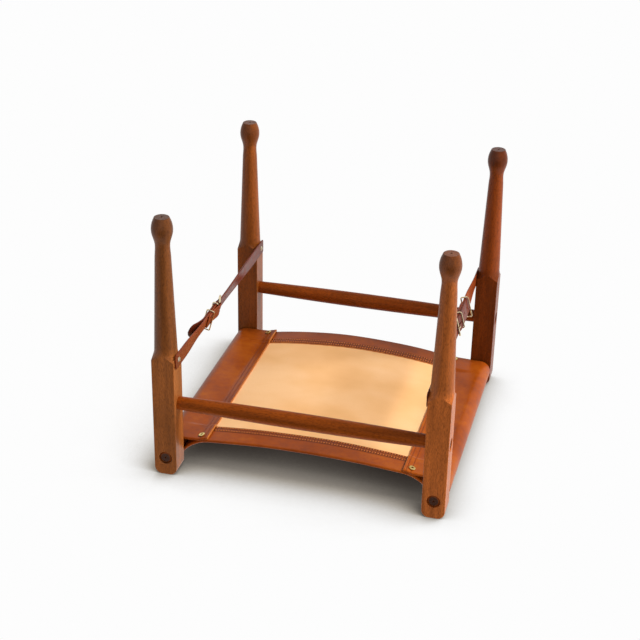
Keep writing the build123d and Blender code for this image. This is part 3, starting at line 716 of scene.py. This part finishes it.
# Straps
strap = {
    "width": 24 * mm, "thick": 2.5 * mm, "innerX": 194 * mm, "height": 231 * mm, "twist": 15.0,
    "legY": 213 * mm, "endReach": 12 * mm, "flatFrom": 188 * mm, "buckleTwist": 110 * mm, "tailTwist": 5 * mm,
    "barY": 33 * mm, "barX": -4.1 * mm, "outerBarY": 13.37 * mm, "tailX": 1.55 * mm,
    "settle": 31 * mm, "foldEnd": 50 * mm,
    # how far past the middle each tail lies flat and reaches, and how far its tip springs away
    "right": {"flat": 90 * mm, "tip": 132 * mm, "spring": 10 * mm},
    "left": {"flat": 99 * mm, "tip": 110 * mm, "spring": 0.8 * mm},
    # a tail climbs over the fold from just before the outer bar to just past the bar
    "climbFrom": 2 * mm, "climbTo": 3 * mm,
    # an end at a leg is sampled closely over this length, and a tip is never narrower than this half width
    "endSampled": 6 * mm, "tipHalf": 1.3 * mm,
    "corner": 3 * mm, "foldCorner": 1.5 * mm, "slack": 0.03 * mm, "edgePush": 0.8,
    "creaseInset": 2.4 * mm, "creaseDepth": 0.3 * mm, "creaseWidth": 0.45 * mm,
    "holePitch": 20 * mm, "holeR": 1.8 * mm, "cutDepth": 6 * mm,
    # the tail's slot reaches nearer the bar than its prong, so that the lifted prong clears its end
    "prongShare": 0.36, "slotShift": 2.1 * mm, "slotHalf": 8.6 * mm, "slotWidth": 2.7 * mm,
    # half length, half width and cutting depth of the prong's slot in the buckle strap's fold
    "foldSlot": (6.5 * mm, 2.2 * mm, 8 * mm),
    # stitches that close the fold: distance from the strap's middle line, first and last place, number
    "seamZ": 8.6 * mm, "seamStart": 60 * mm, "seamEnd": 79 * mm, "seamStitches": 6,
}
layerX = -strap["thick"] / 2


def strapPlace(x, y, z, twist, flip):
    # from a strap's own x, y and z to the frame: turned by the twist about the middle line, and for the left
    # side by half a turn about the stool's own middle
    dx = x - layerX
    place = [strap["innerX"] + layerX + dx * np.cos(twist) + z * np.sin(twist), y,
             strap["height"] - dx * np.sin(twist) + z * np.cos(twist)]
    return np.stack(np.broadcast_arrays(*place), -1) * ((-1, -1, 1) if flip else (1, 1, 1))


def ribbon(name, path, twistAt, halfWidthAt, flip, material):
    # a strap: its section, flat with round edges and a crease along each edge, is carried along path (x, y)
    # and turned about the strap's middle line by twistAt(y). halfWidthAt gives half the width along the path.
    length = np.concatenate([[0], np.cumsum(np.linalg.norm(np.diff(path, axis=0), axis=1))])
    tangent = np.gradient(path, length, axis=0)
    tangent /= np.linalg.norm(tangent, axis=1)[:, None]
    normal = np.stack([-tangent[:, 1], tangent[:, 0]], -1)
    half = halfWidthAt(length, length[-1])
    r = strap["thick"] / 2
    turn = np.linspace(0, np.pi / 2, 6)
    flat = np.linspace(0, 1, 9)
    inner = np.concatenate([flat[:-1] * 0.72, [0.76, 0.79, 0.81, 0.83, 0.86, 0.9, 0.95]])
    last, extraRings = len(path) - 1, len(roundAngles)
    index = np.concatenate([np.zeros(extraRings, dtype=int), np.arange(last + 1), np.full(extraRings, last)])
    angles = np.concatenate([roundAngles[::-1], np.zeros(last + 1), roundAngles])
    squeeze = np.cos(angles)[:, None]
    push = np.sin(angles) * np.where(index == 0, -1, 1) * r * strap["edgePush"]
    centre = path[index] + tangent[index] * push[:, None]
    w = half[index][:, None]
    room = np.clip(w - r, 0.05 * mm, None)
    b = np.concatenate([inner[None, :] * room, room + np.minimum(r, w) * np.sin(turn)[None, :]], axis=1)
    a = np.concatenate([np.full((1, len(inner)), r), r * np.cos(turn)[None, :]], axis=1) + 0 * b
    crease = strap["creaseDepth"] * np.exp(-((w - b - strap["creaseInset"]) / strap["creaseWidth"]) ** 2)
    a = (a - crease) * squeeze
    bb = np.concatenate([-b[:, :0:-1], b], axis=1)
    aa = np.concatenate([a[:, :0:-1], a], axis=1)
    ringB = np.concatenate([bb, bb[:, ::-1]], axis=1)
    ringA = np.concatenate([aa, -aa[:, ::-1]], axis=1)
    x = centre[:, 0:1] + ringA * normal[index][:, 0:1]
    y = centre[:, 1:2] + ringA * normal[index][:, 1:2]
    points = strapPlace(x, y, ringB, np.radians(twistAt(centre[:, 1]))[:, None], flip)
    uv = np.stack([length[index][:, None] + 0 * ringB, ringB], -1)
    piece = gridMesh(name, points, uv)
    piece.data.materials.append(material)
    return piece


def strapPoint(x, y, z, flip):
    # a place in the frame by the strap's own x, y and z, where it is fully twisted
    return strapPlace(x, y, z, math.radians(strap["twist"]), flip)


def strapAxes(flip):
    # directions along and across the strap, where it is fully twisted
    middle = strapPoint(layerX, 0, 0, flip)
    return strapPoint(layerX, 1, 0, flip) - middle, strapPoint(layerX, 0, 1, flip) - middle


def squareEnd(distance, corner):
    # half width at a distance from an end whose corners are rounded to that radius
    c = np.clip(corner - distance, 0, corner)
    return strap["width"] / 2 - corner + np.sqrt(corner ** 2 - c ** 2)


# each strap's twist in degrees rises smoothly from its flat start on the leg
def buckleTwist(y):
    return strap["twist"] * smooth((strap["flatFrom"] + y) / (strap["flatFrom"] - strap["buckleTwist"]))


def tailTwist(y):
    return strap["twist"] * smooth((strap["flatFrom"] - y) / (strap["flatFrom"] - strap["tailTwist"]))


def bucklePath():
    # from past the front screw to the bar, half round it, and back along its own inner side
    end = strap["legY"] + strap["endReach"]
    close = end - strap["endSampled"]
    y = -np.concatenate([np.linspace(end, close, 8)[:-1], np.linspace(close, strap["barY"], 60)])
    outer = np.stack([np.full(len(y), layerX), y], -1)
    r = layerX - strap["barX"]
    a = np.linspace(0, np.pi, 17)[1:]
    fold = np.stack([strap["barX"] + r * np.cos(a), -strap["barY"] + r * np.sin(a)], -1)
    t = np.linspace(0, 1, 26)[1:]
    second = layerX - strap["thick"] - strap["slack"]
    foldX = 2 * strap["barX"] - layerX
    back = np.stack([foldX + (second - foldX) * smooth(t), -strap["barY"] - strap["settle"] * t], -1)
    last = -strap["barY"] - np.linspace(strap["settle"], strap["foldEnd"], 12)[1:]
    return np.concatenate([outer, fold, back, np.stack([np.full(len(last), second), last], -1)])


def tailPath(tail):
    # from past the rear screw, under the outer bar, over the folded end and on to the springing tip
    end = strap["legY"] + strap["endReach"]
    close = end - strap["endSampled"]
    startY, stopY = strap["climbFrom"] - strap["outerBarY"], -strap["barY"] - strap["climbTo"]
    y = np.concatenate([np.linspace(end, close, 8)[:-1], np.linspace(close, startY, 70)])
    t = np.linspace(0, 1, 20)[1:]
    shift = np.stack([layerX + (strap["tailX"] - layerX) * smooth(t), startY + (stopY - startY) * t], -1)
    flat = np.linspace(stopY, -tail["flat"], 30)[1:]
    u = np.linspace(0, 1, 36)[1:]
    lift = strap["tailX"] + tail["spring"] * (1.5 * u ** 2 - 0.5 * u ** 3)
    tip = np.stack([lift, -tail["flat"] - (tail["tip"] - tail["flat"]) * u], -1)
    return np.concatenate([np.stack([np.full(len(y), layerX), y], -1), shift,
                           np.stack([np.full(len(flat), strap["tailX"]), flat], -1), tip])


def buckleWidth(length, total):
    # square ends with small round corners
    return np.minimum(squareEnd(length, strap["corner"]), squareEnd(total - length, strap["foldCorner"]))


def tailWidth(length, total):
    # square end at the leg, and a tip cut to a half circle
    half = strap["width"] / 2
    d = np.clip(total - length, 0, half)
    tip = np.sqrt(np.clip(half ** 2 - (half - d) ** 2, strap["tipHalf"] ** 2, None))
    return np.minimum(squareEnd(length, strap["corner"]), tip)


prongY = -strap["barY"] + (strap["barY"] - strap["outerBarY"]) * strap["prongShare"]


def makeStraps(side):
    # a buckle strap on its own leg and a tail strap from the other leg, with their holes and the thread that
    # closes the buckle's fold. The left set is the right one turned half round, with a shorter tail.
    flip = side == "left"
    longAxis, crossAxis = strapAxes(flip)
    name = f"{side}_buckle_strap_leather"
    buckle = ribbon(name, bucklePath(), buckleTwist, buckleWidth, flip, strapLeather)
    foldCentre = strapPoint(strap["barX"], -strap["barY"], 0, flip)
    cutHoles(buckle, [(foldCentre, longAxis, crossAxis, *strap["foldSlot"])])
    name = f"{side}_tail_strap_leather"
    tail = ribbon(name, tailPath(strap[side]), tailTwist, tailWidth, flip, tailLeather)
    slotCentre = strapPoint(0, prongY - strap["slotShift"], 0, flip)
    holes = [(slotCentre, longAxis, crossAxis, strap["slotHalf"], strap["slotWidth"] / 2, strap["cutDepth"])]
    for number in (1, 2, 3):
        centre = strapPoint(strap["tailX"], prongY - number * strap["holePitch"], 0, flip)
        holes.append((centre, longAxis, crossAxis, strap["holeR"], strap["holeR"], strap["cutDepth"]))
    cutHoles(tail, holes)
    own, other = ("rear_frame", "front_frame") if flip else ("front_frame", "rear_frame")
    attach(buckle, own)
    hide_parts(f"{side}_buckle_strap")
    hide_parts(f"{side}_tail_strap")
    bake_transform(tail)
    y = -np.linspace(strap["seamStart"], strap["seamEnd"], strap["seamStitches"])
    rowAxis = np.tile(longAxis, (len(y), 1))
    outDir = np.tile(strapPoint(1, 0, 0, flip) - strapPoint(0, 0, 0, flip), (len(y), 1))
    thread = []
    for z0 in (-strap["seamZ"], strap["seamZ"]):
        for x0, out in ((layerX + strap["thick"] / 2, 1), (layerX - 1.5 * strap["thick"], -1)):
            thread.append(stitchRow(strapPoint(x0, y, z0, flip), rowAxis, out * outDir, flapStitch))
    stitches = stitchMesh(f"{side}_strap_stitching", thread, strapThread, own)


for side in sides:
    makeStraps(side)
print("straps made")


# Stage, light and camera
stage = {
    "size": 14.0, "near": 0.13, "far": 0.34, "world": 0.22,
    # the floor's colour from the deepest shadow to full light: a little warm in the half shadow
    "tones": [(0.0, "#1e1714"), (0.35, "#a39c92"), (1.0, "#fdfdfd")],
}
lamps = {
    # name: place, size in metres, power in watts.
    # In the photograph's view the key comes from above, behind and the right.
    "key": ((-2.2, 0.5, -1.9), 1.3, 120.0),
    "side": ((-2.8, -0.3, 0.15), 0.8, 26.0),
    "front": ((-0.3, -2.7, -0.7), 1.6, 25.0),
    "fill": ((-0.5, -0.6, 2.6), 2.4, 36.0),
}
lampAim = (0, 0, 0.2)
darkCard = {"place": (-0.5, -2.0, 1.3), "width": 3.4, "height": 2.0}


def stagePlane(name, width, height, z=0.0, faceDown=False):
    # a flat rectangle of the stage about x = y = 0, with an empty material: the object, its mesh and the tree
    corners = [(x * width / 2, y * height / 2, z) for x, y in ((-1, -1), (1, -1), (1, 1), (-1, 1))]
    mesh = bpy.data.meshes.new(name)
    mesh.from_pydata(corners, [], [(0, 3, 2, 1) if faceDown else (0, 1, 2, 3)])
    plane = bpy.data.objects.new(name, mesh)
    bpy.context.scene.collection.objects.link(plane)
    material, tree = newMaterial(name)
    mesh.materials.append(material)
    return plane, tree


def oneSidedFloor(name, z, faceDown):
    # a plain pale floor that only the camera sees, and only from its front. Its shadow is the share of open
    # sky above each point, close by and, leaning to the key light, further out, so no colour bounces onto it
    # from the leather.
    floor, tree = stagePlane(name, stage["size"], stage["size"], z, faceDown)
    near = addNode(tree, "AmbientOcclusion", {"samples": 16, "Distance": stage["near"]})
    lean = np.array(lamps["key"][0]) * (1, 1, 1 if faceDown else -1)
    lean = addNode(tree, "CombineXYZ", {i: float(v) for i, v in enumerate(lean / np.linalg.norm(lean))})
    far = addNode(tree, "AmbientOcclusion", {"samples": 24, "Distance": stage["far"], "Normal": lean})
    near = addNode(tree, "MapRange", {"Value": near.outputs["AO"], "From Min": 0.05, "From Max": 0.85})
    far = addNode(tree, "MapRange", {"Value": far.outputs["AO"], "From Min": 0.14, "From Max": 0.8})
    shade = addNode(tree, "Math", {"operation": "MULTIPLY", 0: near, 1: far})
    tone = addNode(tree, "ValToRGB", {"Fac": shade, "stops": stage["tones"]})
    pale = addNode(tree, "Emission", {"Color": tone})
    back = addNode(tree, "NewGeometry", {}).outputs["Backfacing"]
    mix = addNode(tree, "MixShader", {0: back, 1: pale, 2: addNode(tree, "BsdfTransparent", {})})
    addNode(tree, "OutputMaterial", {"Surface": mix})
    floor.visible_diffuse = floor.visible_glossy = floor.visible_transmission = floor.visible_shadow = False


def softLamp(name, place, size, power):
    data = bpy.data.lights.new(name, "AREA")
    data.shape = "SQUARE"
    data.size = size
    data.energy = power
    lamp = bpy.data.objects.new(name, data)
    bpy.context.scene.collection.objects.link(lamp)
    lamp.location = place
    lamp.rotation_euler = (Vector(lampAim) - Vector(place)).to_track_quat("-Z", "Y").to_euler()
    lamp.visible_glossy = False  # reflections show the white room alone, without a lamp's glare on the rims


def makeDarkCard():
    # a black card low in front of the camera's side. Only reflections see it: it keeps the white room out of
    # the middle of the turned parts, and leaves it on their edges.
    card, tree = stagePlane("dark_card", darkCard["width"], darkCard["height"])
    dark = addNode(tree, "Emission", {"Color": (0, 0, 0, 1), "Strength": 0.0})
    addNode(tree, "OutputMaterial", {"Surface": dark})
    card.location = darkCard["place"]
    card.rotation_euler = (Vector(lampAim) - Vector(darkCard["place"])).to_track_quat("Z", "Y").to_euler()
    card.visible_camera = card.visible_diffuse = card.visible_transmission = card.visible_shadow = False


makeDarkCard()
oneSidedFloor("floor_under_seat", cadBox[1][2], True)
oneSidedFloor("floor_under_feet", cadBox[0][2], False)
for name, (place, size, power) in lamps.items():
    softLamp(name, place, size, power)

# the world lights the stool weakly, and the camera, reflections and clear materials see it white
world = bpy.data.worlds.new("studio")
bpy.context.scene.world = world
world.use_nodes = True
tree = world.node_tree
tree.nodes.clear()
ray = addNode(tree, "LightPath", {}).outputs
seen = addNode(tree, "Math", {"operation": "MAXIMUM", 0: ray["Is Glossy Ray"], 1: ray["Is Transmission Ray"]})
seen = addNode(tree, "Math", {"operation": "MAXIMUM", 0: ray["Is Camera Ray"], 1: seen})
strength = addNode(tree, "MapRange", {"Value": seen, "To Min": stage["world"], "To Max": 1.0})
sky = addNode(tree, "Background", {"Color": (1, 1, 1, 1), "Strength": strength})
addNode(tree, "OutputWorld", {"Surface": sky})

view = {"place": (-0.49451, -2.03886, -0.83545), "turn": (-117.1544, 1.0827, 165.0827), "lens": 82.374}
camera = bpy.data.objects.new("camera", bpy.data.cameras.new("camera"))
bpy.context.scene.collection.objects.link(camera)
camera.location = view["place"]
camera.rotation_euler = [math.radians(a) for a in view["turn"]]
camera.data.lens = view["lens"]
camera.data.sensor_width = 36
camera.data.clip_end = 60
bpy.context.scene.camera = camera
bpy.context.scene.view_settings.view_transform = "Standard"
print("stage set")
